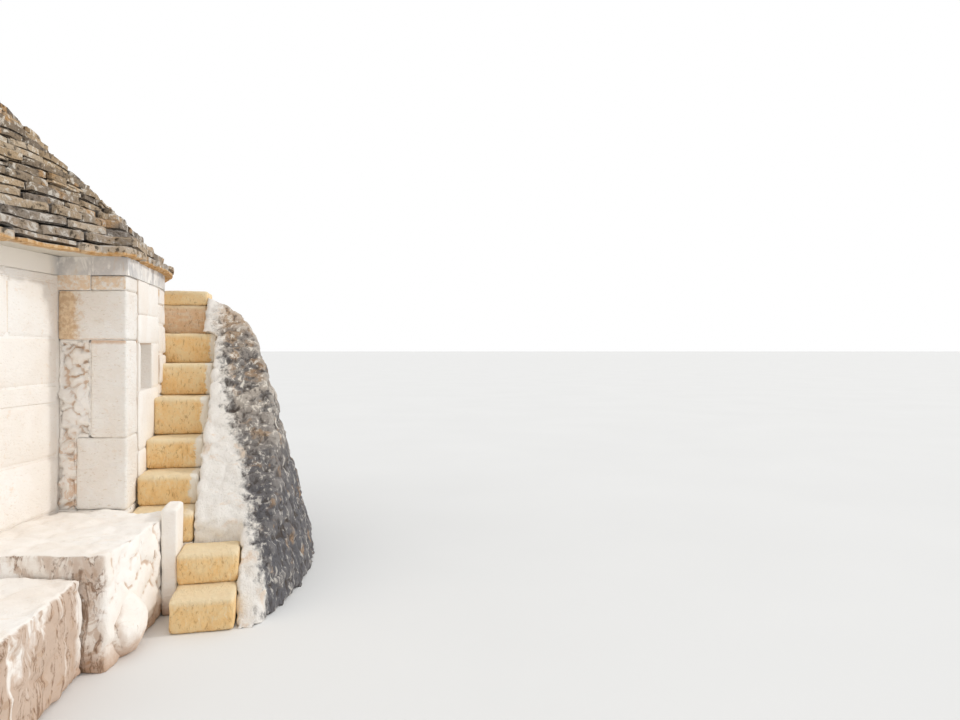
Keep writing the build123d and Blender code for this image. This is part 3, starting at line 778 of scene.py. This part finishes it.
# %% The outline of each course
course_count = 35
courses_in_ring = 7
course_rise = (cone_top - eave_top) / course_count
eave_radius = 2.345  # this and what follows is in metres, as in the solid model
tip_radius = 0.130
setback = (eave_radius - tip_radius) / course_count
bay_half, bay_deep, bay_corner = 2.220, 2.420, 0.570
bay_fade, side_fade = 16, 9  # the courses in which the bay and the side corner fade into the round
side_corner = (2.410, -0.300)  # the blunt corner over the side wall, from the axis
side_inner = 1.73  # how far out the side wall's outline begins, inside the bay's
bay_taper = 0.06  # the share of its width that the bay loses as it fades
bay_rounding = 0.9  # how round its corners are by then, as a share of half its width
spare = 12  # degrees by which a ring's line runs on at each end, so that no stone falls off it


def rounded_front(half_width, depth, corner):
    """The front bay from its right side round the front to its left side, as points of the plan."""
    points = [(half_width, 0.0)]
    for first, centre_x in ((0, half_width - corner), (-90, corner - half_width)):
        for turn_by in range(0, 91, 10):
            bearing = math.radians(first - turn_by)
            out_x, out_y = corner * math.cos(bearing), corner * math.sin(bearing)
            points.append((centre_x + out_x, corner - depth + out_y))
    return [*points, (-half_width, 0.0)]


def reach_of(points, bearings):
    """How far from the axis a chain of plan points is crossed at each bearing, or 0 where it isn't."""
    start = np.array(points[:-1])[:, None, :]
    run = np.array(points[1:])[:, None, :] - start
    ray = np.stack([np.cos(bearings), np.sin(bearings)], -1)[None]
    cross = ray[..., 0] * run[..., 1] - ray[..., 1] * run[..., 0]
    cross = np.where(np.abs(cross) < 1e-9, 1e-9, cross)
    reach = (start[..., 0] * run[..., 1] - start[..., 1] * run[..., 0]) / cross
    share = (start[..., 0] * ray[..., 1] - start[..., 1] * ray[..., 0]) / cross
    return np.where((share >= 0) & (share <= 1) & (reach > 0), reach, 0.0).max(0)


def course_reach(number, bearings):
    """The outline of a course: how far out its slabs reach at each bearing."""
    inset = setback * number
    reach = np.full(len(bearings), eave_radius - inset)
    if number < bay_fade:
        fade = number / bay_fade
        half_width = (bay_half - inset) * (1 - bay_taper * fade)
        depth = bay_deep - inset - (bay_deep - eave_radius) * fade
        corner = bay_corner + (bay_rounding * half_width - bay_corner) * fade
        reach = np.maximum(reach, reach_of(rounded_front(half_width, depth, corner), bearings))
    if number < side_fade:
        grow = eave_radius - wall_face - inset
        fade = number / side_fade
        touch = [(wall_face + grow) * way for way in out_from_wall]
        outer = [side_corner[0] + grow, side_corner[1] - grow]
        outer = [outer[n] + (touch[n] - outer[n]) * fade for n in (0, 1)]
        reach = np.maximum(reach, reach_of([(side_inner, outer[1]), outer, touch], bearings))
    return reach


def plan_points(reach, bearings):
    """Points of the plan from how far they are from the axis at each bearing."""
    return [(axis[0] + r * math.cos(b), axis[1] + r * math.sin(b)) for r, b in zip(reach, bearings)]


def course_line(number, first_bearing):
    """The line that a course is laid on: once round from a bearing, with a spare piece at each end."""
    bearings = np.radians(np.arange(first_bearing - spare, first_bearing + 360 + spare + 0.01, 0.5))
    return plan_points(course_reach(number, bearings), bearings)


def line_lengths(line):
    """The length from the start of a line to each of its points."""
    steps = np.hypot(*np.diff(np.array(line), axis=0).T)
    return np.concatenate([[0.0], np.cumsum(steps)])


print("the eave is", round(float(line_lengths(course_line(0, 0.0))[-1]), 2), "m round, spare ends included")

# %% [markdown]
# Each ring of slabs is cut to its own random lengths, so that joints break over the ones below. Real slabs
# tip outwards a little to shed rain; here each is tipped a little at random. They are 20 to 45 cm long and as
# thick as a course.

# %% Laying the cone
slab_deep = 0.26  # how far a slab runs in
slab_deep_near_tip = 0.75  # the same near the tip, as a share of the ring's radius
thin_slabs = 0.12  # the share of slabs that are two thin ones


def cut_lengths(total, count, shortest, longest):
    """Random lengths that fill a run; shortest and longest bound them before they are scaled to fit."""
    cuts = [dice.uniform(shortest, longest) for _ in range(count)]
    scale = total / sum(cuts)
    return [cut * scale for cut in cuts]


def ring_of_slabs(number, line_index, bottom, rise, average, spread):
    """The line and the stones of one closed course."""
    line = course_line(number, dice.uniform(0, 360))
    lengths = line_lengths(line)
    along = lengths[spare * 2]
    total = lengths[-1 - spare * 2] - along
    stones = []
    deep = min(slab_deep, slab_deep_near_tip * total / (2 * math.pi))
    for length in cut_lengths(total, max(5, round(total / average)), 0.55, 1.5):
        layers = [0.0, dice.uniform(0.42, 0.6), 1.0] if dice.random() < thin_slabs else [0.0, 1.0]
        for low, high in zip(layers[:-1], layers[1:]):
            stones.append(stone(
                line_index, along + length / 2, bottom + rise * low + dice.uniform(-0.003, 0.003), length,
                rise * (high - low) * dice.uniform(0.76, 0.98), deep, dice.uniform(-0.5, 1.0) * spread,
                dice.random(),
            ))
        along += length
    return line, stones


dice = random.Random(11)
for ring in range(course_count // courses_in_ring):
    lines, stones = [], []
    for step_in in range(courses_in_ring):
        number = ring * courses_in_ring + step_in + 1
        bottom = eave_top + course_rise * (number - 1)
        line, laid = ring_of_slabs(number, step_in, bottom, course_rise, 0.30, 0.020)
        lines.append(line)
        stones.extend(laid)
    lay_stones(
        f"roof_slabs_{ring + 1}", [f"cone_ring_{ring + 1}"], lines, stones, slab_block,
        roof_finish, (0.15, 0.036, 0.040, 0.022), tilt=0.045, seed=ring,
    )

# %% [markdown]
# Behind the slabs is packing, coloured nearly black so that it shows as painted shade in the joints. One
# smooth skin a hand's breadth inside the slabs closes the cone. The eave's slabs are larger and thicker,
# bedded in ochre mortar.

# %% The packing and the eave
packing_inset = 0.13  # how far the skin lies inside the slabs' faces
eave_deep = 0.40  # how far an eave slab runs in


def packing_mesh(name):
    """A closed skin inside the slabs, from the eave to the tip."""
    bearings = np.radians(np.arange(0, 360, 3))
    around = len(bearings)
    points = []
    for number in range(0, course_count + 1, 2):
        reach = np.maximum(course_reach(number, bearings) - packing_inset, 0.02)
        height = eave_top + course_rise * number - (0.01 if number else 0.04)
        points += [(x, y, height) for x, y in plan_points(reach, bearings)]
    rings = [range(first, first + around) for first in range(0, len(points), around)]
    faces = []
    for low, high in zip(rings[:-1], rings[1:]):
        faces += [(low[n], low[(n + 1) % around], high[(n + 1) % around], high[n]) for n in range(around)]
    faces += [tuple(reversed(rings[0])), tuple(rings[-1])]
    mesh = bpy.data.meshes.new(name)
    mesh.from_pydata(points, [], faces)
    return mesh


# painted shade: the packing skin is nearly black so that the joints look shaded
packing_shade_finish, board, place = open_finish("packing_painted_shade")
grit = board.noise(place, 0.05, 4.0, 0.6)
painted_shade_colour = board.blend(board.step(grit, 0.35, 0.65), paint(44, 37, 31), paint(84, 72, 58))
close_finish(board, painted_shade_colour, 0.95, grit, 0.02)
packing = packing_mesh("cone_packing")
packing.materials.append(packing_shade_finish)
add_piece(packing, "cone_packing")

dice = random.Random(5)
eave_line, eave_stones = ring_of_slabs(0, 0, eave_bottom, eave_top - eave_bottom, 0.42, 0.022)
for eave_stone in eave_stones:
    eave_stone["deep"] = eave_deep
    eave_stone["base"] -= dice.uniform(0.0, 0.008)
lay_stones(
    "eave_slabs", ["eave_course"], [eave_line], eave_stones, slab_block, eave_finish,
    (0.20, 0.034, 0.05, 0.012), seed=9,
)

# %% [markdown]
# The walls are coursed stone under limewash. The bay is squared ashlar in courses of about 30 cm, and the
# drum is smaller and rougher. Each stone stands a little proud of the solid wall behind it, which shows in
# the joints.

# %% The lines of the walls
bay_front, bay_side, corner_round = 2.300, 2.030, 0.450
door_clear = 0.580
arc_step = 3.0  # degrees between the points of an arc


def arc_points(centre, radius, first, last):
    """Plan points of an arc between two bearings in degrees."""
    count = max(2, int(abs(last - first) / arc_step) + 1)
    bearings = [math.radians(bearing) for bearing in np.linspace(first, last, count)]
    return [(centre[0] + radius * math.cos(b), centre[1] + radius * math.sin(b)) for b in bearings]


def densely(points, spacing=0.03):
    """The same line with points close together, so that a straight run doesn't blur its ends."""
    dense = [points[0]]
    for (x0, y0), (x1, y1) in zip(points[:-1], points[1:]):
        pieces = max(1, round(math.hypot(x1 - x0, y1 - y0) / spacing))
        dense += [(x0 + (x1 - x0) * n / pieces, y0 + (y1 - y0) * n / pieces) for n in range(1, pieces + 1)]
    return dense


corner_y = corner_round - bay_front
wall_lines = {
    "bay_right": [(door_clear, -bay_front)]
    + arc_points((bay_side - corner_round, corner_y), corner_round, -90, 0)
    + [(bay_side, side_corner[1] - 0.005)],
    "bay_left": [(-bay_side, -0.265)]
    + arc_points((corner_round - bay_side, corner_y), corner_round, 180, 270)
    + [(-door_clear, -bay_front)],
    "drum_by_stair": arc_points((0, 0), wall_face, stair_turn, 38),
    "drum_back": arc_points((0, 0), wall_face, 84, 186.4),
    "notch": [(-2.268, -0.26), (-2.035, -0.26)],
}
for name, points in wall_lines.items():
    wall_lines[name] = densely([(axis[0] + x, axis[1] + y) for x, y in points])
    print(name, round(float(line_lengths(wall_lines[name])[-1]), 2), "m")

# %% [markdown]
# A wall goes up course by course. In the drum a mason has now and then set two thin stones in place of one.

# %% Laying the walls
wall_stone_deep = 0.09  # how far a wall stone runs in
bed_gap = 0.002  # how much open bed is under each stone
never_split = 0.14  # a course lower than this has no thin stones


def coursed_wall(line, joints, average, proud, split):
    """Stones for a run of wall: a course between each two joints, cut to random lengths."""
    total = float(line_lengths(line)[-1])
    stones = []
    for low, high in zip(joints[:-1], joints[1:]):
        count = max(1, round(total / average * dice.uniform(0.85, 1.15)))
        along = 0.0
        for length in cut_lengths(total, count, 0.6, 1.4):
            levels = [low, high]
            if dice.random() < split and high - low > never_split:
                levels.insert(1, low + (high - low) * dice.uniform(0.38, 0.62))
            for base, top in zip(levels[:-1], levels[1:]):
                stones.append(stone(
                    0, along + length / 2, base + bed_gap, length, top - base, wall_stone_deep,
                    proud * dice.uniform(0.4, 1.2), dice.random(),
                ))
            along += length
    return stones


ashlar_joints = [0.0, 0.27, 0.51, 0.81, 1.10, 1.20, 1.455, 1.757, wall_top]
drum_joints = [0.0, 0.20, 0.38, 0.60, 0.78, 1.00, 1.16, 1.36, 1.56, wall_top]
# The joints of each run, the average length of its stones, how proud they stand and how many are split.
stone_runs = {
    "bay_right": (ashlar_joints, 0.52, 0.010, 0.0),
    "bay_left": (ashlar_joints, 0.52, 0.010, 0.0),
    "drum_by_stair": (drum_joints, 0.26, 0.016, 0.3),
    "drum_back": (drum_joints, 0.30, 0.016, 0.3),
    "notch": (drum_joints, 0.20, 0.010, 0.0),
}
dice = random.Random(23)
for name, run in stone_runs.items():
    rough = name.startswith("drum")
    lay_stones(
        f"stones_{name}", (), [wall_lines[name]], coursed_wall(wall_lines[name], *run),
        wall_block, wall_finish, (0.22, 0.020, 0.05, 0.008) if rough else (0.30, 0.008, 0.05, 0.004),
        joint=0.010 if rough else 0.006, tilt=0.012 if rough else 0.004, seed=3,
    )

# %% [markdown]
# The flat side wall has the niche. Its stones are set out one by one round the opening: a sill, a block on
# each side and a lintel over it, as the mason would have done.

# %% The side wall with the niche
side_wall_start = -0.602
side_line = densely([flight_point(wall_face, side_wall_start), flight_point(wall_face, 0.0)])
# Where each stone starts and ends along the wall, its foot and its top.
round_the_niche = [
    (-0.60, -0.24, 0.51, 0.80), (-0.24, 0.0, 0.51, 0.80), (-0.60, 0.0, 0.80, 1.147),
    (-0.60, -0.562, 1.147, 1.43), (-0.208, 0.0, 1.147, 1.43), (-0.60, 0.0, 1.43, 1.60),
    (-0.60, -0.28, 1.60, 1.80), (-0.28, 0.0, 1.60, 1.80),
]
side_stones = []
for start, end, low, high in round_the_niche:
    middle = (start + end) / 2 - side_wall_start
    tone = dice.random() * 0.4
    side_stones.append(stone(0, middle, low, end - start, high - low, 0.05, 0.004, tone))
lay_stones(
    "stones_side_wall", (), [side_line], side_stones, wall_block, brushed_finish,
    (0.25, 0.008, 0.05, 0.004), joint=0.002, tilt=0.002,
)

# %% [markdown]
# Single blocks, such as the corner stones and the steps, keep the shape of their solids, but no edge of
# theirs is sharp and no face is flat. A copy of the solid is bevelled and remeshed to small even faces, and
# a second tree pushes those in and out: broad lumps, fine grain, and, on rubble, joints between cells. It
# keeps every point above the ground, and it writes the attributes that the finishes read.

# %% The tree that weathers a block
waver_scale, waver_depth = 9.0, 0.10  # the noise that bends the joints between cells
cell_squash = 1.45  # cells are this much wider than they are high
smear = 0.85  # how much of a joint is filled where mortar is smeared over it
blur_steps = 8  # how many edges round a point its surroundings reach


def make_weather_tree():
    board, given = new_group(
        "weather_block", Material=["Material"],
        Float=[
            "Lump size", "Lump depth", "Grain size", "Grain depth", "Cell size", "Cell depth", "Joint width",
            "Front only", "Top", "Seed",
        ],
    )
    place = position(board)
    outwards = board.add("GeometryNodeInputNormal")[0]
    lump = board.noise(place, given["Lump size"], shift=given["Seed"])
    grain = board.noise(place, given["Grain size"], 3.0, shift=given["Seed"])
    bend = board.add("ShaderNodeTexNoise", {}, {"Vector": place, "Scale": waver_scale})["Color"]
    bend = board.scaled(board.vector("SUBTRACT", bend, (0.5, 0.5, 0.5))[0], waver_depth)
    cells_at = board.vector("MULTIPLY", board.vector("ADD", place, bend)[0], (1.0, 1.0, cell_squash))[0]
    sockets = {"Vector": cells_at, "Scale": 1.0 / given["Cell size"]}
    edge = board.add("ShaderNodeTexVoronoi", {"feature": "DISTANCE_TO_EDGE"}, sockets)["Distance"]
    tone = board.parts(board.add("ShaderNodeTexVoronoi", {"feature": "F1"}, sockets)["Color"])[0]
    rim = board.step(edge * given["Cell size"], 0.0, given["Joint width"])
    smeared = board.step(board.noise(place, 0.12, shift=5.0), 0.42, 0.58) * smear
    joint = (1.0 - rim) * (1.0 - rim) * (1.0 - given["Front only"] * smeared)
    push = (lump - 0.5) * given["Lump depth"] + (grain - 0.5) * given["Grain depth"]
    push = push + ((tone - 0.5) * 0.7 - joint) * given["Cell depth"]
    to_front = board.step(board.parts(outwards)[1], -0.1, -0.5)
    push = push * (1.0 - given["Front only"] * (1.0 - to_front))
    shaped = moved(board, given["Geometry"], Offset=board.scaled(outwards, push))
    after = board.parts(position(board))
    shaped = moved(board, shaped, Position=board.combine(after[0], after[1], after[2].at_least(0.0)))
    here = position(board)
    sockets = {"Value": here, "Iterations": blur_steps}
    around = board.add("GeometryNodeBlurAttribute", {"data_type": "FLOAT_VECTOR"}, sockets)[0]
    from_around = board.vector("SUBTRACT", here, around)[0]
    proud = board.vector("DOT_PRODUCT", from_around, board.add("GeometryNodeInputNormal")[0])[1]
    for label, value in (("proud", proud), ("tone", tone), ("from_top", given["Top"] - after[2])):
        sockets = {0: shaped, "Name": label, "Value": value}
        shaped = board.add("GeometryNodeStoreNamedAttribute", {}, sockets)[0]
    end_group(board, board.add("GeometryNodeSetShadeSmooth", {}, {0: shaped})[0], given["Material"])
    return board.tree


weather_tree = make_weather_tree()
print("weather tree:", len(weather_tree.nodes), "nodes")

# %% [markdown]
# A block is weathered in place of its solid. Flat faces are made whole first, so that only real edges are
# rounded.


# %% Weathering a copy of a solid
def solid_copy(node):
    """A copy of a solid's mesh with its seams merged and its flat faces whole."""
    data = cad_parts[node].data.copy()
    mesh = bmesh.new()
    mesh.from_mesh(data)
    bmesh.ops.remove_doubles(mesh, verts=mesh.verts, dist=1e-5)
    bmesh.ops.dissolve_limit(mesh, angle_limit=math.radians(1), verts=mesh.verts, edges=mesh.edges)
    mesh.to_mesh(data)
    mesh.free()
    data.materials.clear()
    return data


no_cells = (0.1, 0.0, 0.01)  # joints of no depth


def weathered(
    node, name, finish, voxel, bevel, lump, grain, seed, cells=no_cells, front_only=0.0, shape=None
):
    """Adds a worn copy of a solid, or of a shape that stands for none. lump and grain: size and depth in
    metres; cells: size, depth and the width of the joint. front_only keeps the faces that others touch."""
    data = shape or solid_copy(node)
    working = bpy.data.objects.new(name + "_copy", data)
    if bevel:
        rounding = working.modifiers.new("round", "BEVEL")
        rounding.width, rounding.segments, rounding.limit_method = bevel, 3, "ANGLE"
        rounding.angle_limit = math.radians(35)
    remesh = working.modifiers.new("even", "REMESH")
    remesh.mode, remesh.voxel_size = "VOXEL", voxel
    values = {
        "Lump size": lump[0], "Lump depth": lump[1], "Grain size": grain[0], "Grain depth": grain[1],
        "Cell size": cells[0], "Cell depth": cells[1], "Joint width": cells[2], "Front only": front_only,
        "Top": max(vertex.co.z for vertex in data.vertices), "Seed": seed, "Material": finish,
    }
    add_piece(run_tree(working, weather_tree, name, values), name, [node] if node else ())


# %% [markdown]
# The corner stones are the best masonry of the house: large tooled blocks with crisp but worn edges. The
# panel of small stones between them and the bay was pushed into mortar by hand, and its joints are deep.

# %% The corner of the side wall
for number, which in enumerate(["foot", "low", "tall", "bearing", "top"]):
    weathered(
        f"corner_stone_{which}", f"corner_block_{which}", ashlar_finish,
        0.011, 0.007, (0.16, 0.014), (0.022, 0.005), number * 3.7,
    )
weathered(
    "rubble_panel", "panel_of_rubble", panel_finish,
    0.008, 0.004, (0.07, 0.046), (0.028, 0.016), 2.0, (0.10, 0.036, 0.050), 1.0,
)

# %% [markdown]
# The steps are worn most at their nosings, so their edges are rounded more than the corner stones are.

# %% The stair
step_nodes = [f"step_{number}" for number in range(1, 9)] + ["step_9_riser", "step_9_slab"]
for number, node in enumerate(step_nodes):
    weathered(
        node, f"worn_{node}", top_riser_finish if node == "step_9_riser" else stair_finish,
        0.012, 0.016, (0.14, 0.014), (0.02, 0.004), number * 2.3,
    )

# %% [markdown]
# The bench and its end slab are lumpy under many coats of limewash. The battered mass is rubble whose
# stones still show through the lichen.

# %% The bench and the battered mass
for part, voxel, bevel, seed in (("ledge", 0.014, 0.035, 4.0), ("seat", 0.015, 0.045, 5.0)):
    weathered(
        f"bench_{part}", f"limewashed_{part}", bench_finish,
        voxel, bevel, (0.20, 0.046), (0.05, 0.012), seed, (0.26, 0.010, 0.05),
    )
weathered(
    "bench_end_slab", "limewashed_end_slab", slab_finish,
    0.010, 0.012, (0.15, 0.014), (0.03, 0.004), 6.0,
)
weathered(
    "stair_flank", "weathered_flank", flank_finish,
    0.020, 0.020, (0.12, 0.026), (0.045, 0.018), 7.0, (0.13, 0.012, 0.035),
)

# %% [markdown]
# At the foot of the ledge's end one stone bulges out of the limewash. No solid stands for it, so its mesh is
# a ball that is pressed to shape, and the same tree wears it.

# %% The stone at the foot of the ledge
foot_centre = (axis[0] + 2.715, axis[1] - 0.965, 0.125)
foot_half = (0.085, 0.165, 0.150)  # half its size each way
ball = bmesh.new()
bmesh.ops.create_icosphere(ball, subdivisions=4, radius=1.0)
for vertex in ball.verts:
    swell = 0.86 + 0.14 * math.cos(3.0 * vertex.co.z)
    vertex.co = (
        foot_centre[0] + foot_half[0] * swell * vertex.co.x,
        foot_centre[1] + foot_half[1] * swell * vertex.co.y,
        max(0.0, foot_centre[2] + foot_half[2] * vertex.co.z),
    )
foot_stone = bpy.data.meshes.new("foot_stone_shape")
ball.to_mesh(foot_stone)
ball.free()
weathered(
    None, "ledge_foot_stone", bench_finish,
    0.011, 0.0, (0.12, 0.034), (0.04, 0.010), 3.0, shape=foot_stone,
)

# %% [markdown]
# The frame of the doorway is ashlar like the corner, its threshold is worn like the steps, and the pinnacle
# is small and plain.

# %% The doorway and the pinnacle
for node in ("door_jamb_left", "door_jamb_right", "door_lintel"):
    weathered(
        node, f"limewashed_{node}", ashlar_finish,
        0.019, 0.014, (0.20, 0.014), (0.03, 0.004), 8.0,
    )
weathered(
    "door_threshold", "worn_threshold", stair_finish,
    0.016, 0.018, (0.20, 0.016), (0.03, 0.004), 9.0,
)
weathered(
    "pinnacle", "limewashed_pinnacle_stone", pinnacle_finish,
    0.007, 0.006, (0.08, 0.010), (0.02, 0.003), 1.0,
)

# %% [markdown]
# What is left keeps its solid: the walls behind their stones, the band, the floor, the vault and the core
# under the steps. Their shapes are right, so they only need a finish.

# %% Finishes of the solids that stay
kept_finishes = {
    "wall_": wall_finish,
    "render_band": band_finish,
    "room_floor": floor_finish,
    "vault_": plaster_finish,
    "stair_core": wall_finish,
}
for name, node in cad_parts.items():
    for start, finish in kept_finishes.items():
        if name.startswith(start):
            node.data.materials.clear()
            node.data.materials.append(finish)
            print(name, "takes", finish.name)

# %% [markdown]
# The light is soft and comes mostly from the right, as the sun does in the photograph, so that faces towards
# the stair are bright and faces towards the viewer are in open shade. The floor and the background are
# pale.

# %% Floor, light and world
pale_finish, board, place = open_finish("pale_floor")
cloud = board.noise(place, 1.5)
close_finish(board, board.blend(cloud, paint(230, 229, 227), paint(236, 235, 233)), 0.9, cloud, 0.001)
floor_reach = 300.0  # metres each way, so that its edge lies beyond the horizon
floor_mesh = bpy.data.meshes.new("pale_floor")
floor_corners = [(x * floor_reach, y * floor_reach, 0) for x, y in ((-1, -1), (1, -1), (1, 1), (-1, 1))]
floor_mesh.from_pydata(floor_corners, [], [(0, 1, 2, 3)])
floor_mesh.materials.append(pale_finish)
floor = put_in_scene("pale_floor", floor_mesh)

sun_data = bpy.data.lights.new("soft_sun", "SUN")
sun_data.energy = 1.05
sun_data.angle = math.radians(6)
sun_data.color = (1.0, 0.985, 0.955)
sun_from_zenith, sun_bearing = math.radians(58), math.radians(104)
put_in_scene("soft_sun", sun_data).rotation_euler = (sun_from_zenith, 0.0, sun_bearing)

world = bpy.data.worlds.new("studio")
world.use_nodes = True
world.node_tree.nodes.clear()
board = Board(world.node_tree)
seen = board.add("ShaderNodeLightPath")
direct = seen["Is Camera Ray"].at_least(seen["Is Glossy Ray"])
soft = board.add("ShaderNodeBackground", {}, {"Color": (0.97, 0.985, 1.0, 1.0), "Strength": 0.87})
white = board.add("ShaderNodeBackground", {}, {"Color": (1.0, 1.0, 1.0, 1.0), "Strength": 1.0})
both = board.add("ShaderNodeMixShader", {}, {0: direct, 1: soft[0], 2: white[0]})
board.add("ShaderNodeOutputWorld", {}, {"Surface": both[0]})
bpy.context.scene.world = world
bpy.context.scene.view_settings.view_transform = "Standard"
print("sun", sun_data.energy)

# %% [markdown]
# The photograph was taken with a wide lens, level, from eye height, with the house at the left of the frame.
# The horizon lies a little above the middle, which a small shift gives without tipping the walls.

# %% The camera
camera_data = bpy.data.cameras.new("photo_camera")
camera_data.lens = 28.0
camera_data.sensor_width = 36.0
camera_data.shift_y = -0.0125
eye_right, eye_back, eye_height = 4.350, 4.400, 1.40  # from the axis and the ground
camera = put_in_scene("photo_camera", camera_data)
camera.location = (axis[0] + eye_right, axis[1] - eye_back, eye_height)
camera.rotation_euler = (math.radians(90), 0.0, 0.0)
bpy.context.scene.camera = camera
print("camera at", [round(part, 3) for part in camera.location])
